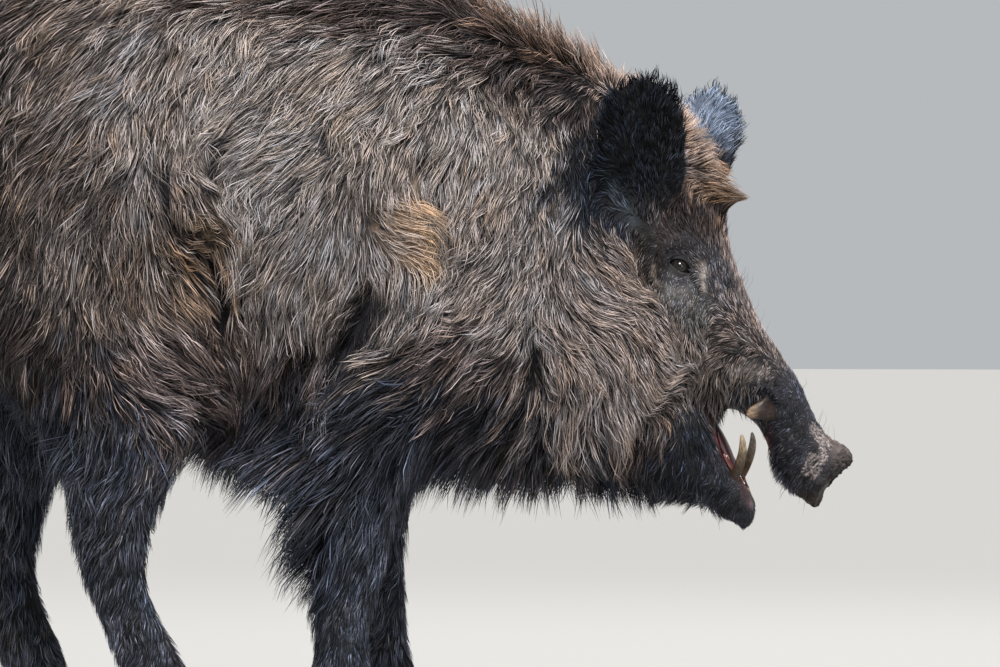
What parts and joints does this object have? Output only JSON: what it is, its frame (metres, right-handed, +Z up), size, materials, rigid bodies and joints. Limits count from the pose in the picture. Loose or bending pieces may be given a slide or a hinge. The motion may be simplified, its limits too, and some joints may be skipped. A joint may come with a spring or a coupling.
{
  "type": "wild boar figure",
  "caption": "Life-size still model of an adult male wild boar in winter coat, standing with lowered head and open mouth.",
  "frame": {"origin": "on the floor, under the middle of the bounding box", "axes": "+X towards the snout, +Y the animal's left, +Z up"},
  "size_m": [1.22, 0.456, 0.9866],
  "materials": {
    "coat": "long coarse winter bristles over dark skin, grizzled brown-grey on the body, near-black on the legs",
    "nose": "bare, finely creased, damp and dusted with dried mud",
    "mouth": "wet dark red lining",
    "teeth": "worn stained teeth on pink gum",
    "tusk": "smooth ivory, ochre with dark streaks",
    "hoof": "dark horn, worn matte",
    "eye": "wet, dark brown"
  },
  "bodies": {
    "root": {"eye_right": "eye", "tusk_upper_right": "tusk", "tusk_lower_right": "tusk", "eye_left": "eye", "tusk_upper_left": "tusk", "tusk_lower_left": "tusk", "trunk": "coat", "neck": "coat", "head": "coat", "snout": "coat", "nose_disc": "nose", "lower_jaw": "coat", "tongue": "mouth", "teeth_lower": "teeth", "ear_right": "coat", "ear_left": "coat", "tail": "coat", "foreleg_right_upper": "coat", "foreleg_right_middle": "coat", "foreleg_right_foot": "coat", "hoof_foreleg_right_inner": "hoof", "dewclaw_foreleg_right_inner": "hoof", "hoof_foreleg_right_outer": "hoof", "dewclaw_foreleg_right_outer": "hoof", "foreleg_left_upper": "coat", "foreleg_left_middle": "coat", "foreleg_left_foot": "coat", "hoof_foreleg_left_inner": "hoof", "dewclaw_foreleg_left_inner": "hoof", "hoof_foreleg_left_outer": "hoof", "dewclaw_foreleg_left_outer": "hoof", "hindleg_right_upper": "coat", "hindleg_right_middle": "coat", "hindleg_right_foot": "coat", "hoof_hindleg_right_inner": "hoof", "dewclaw_hindleg_right_inner": "hoof", "hoof_hindleg_right_outer": "hoof", "dewclaw_hindleg_right_outer": "hoof", "hindleg_left_upper": "coat", "hindleg_left_middle": "coat", "hindleg_left_foot": "coat", "hoof_hindleg_left_inner": "hoof", "dewclaw_hindleg_left_inner": "hoof", "hoof_hindleg_left_outer": "hoof", "dewclaw_hindleg_left_outer": "hoof"}
  },
  "joints": []
}
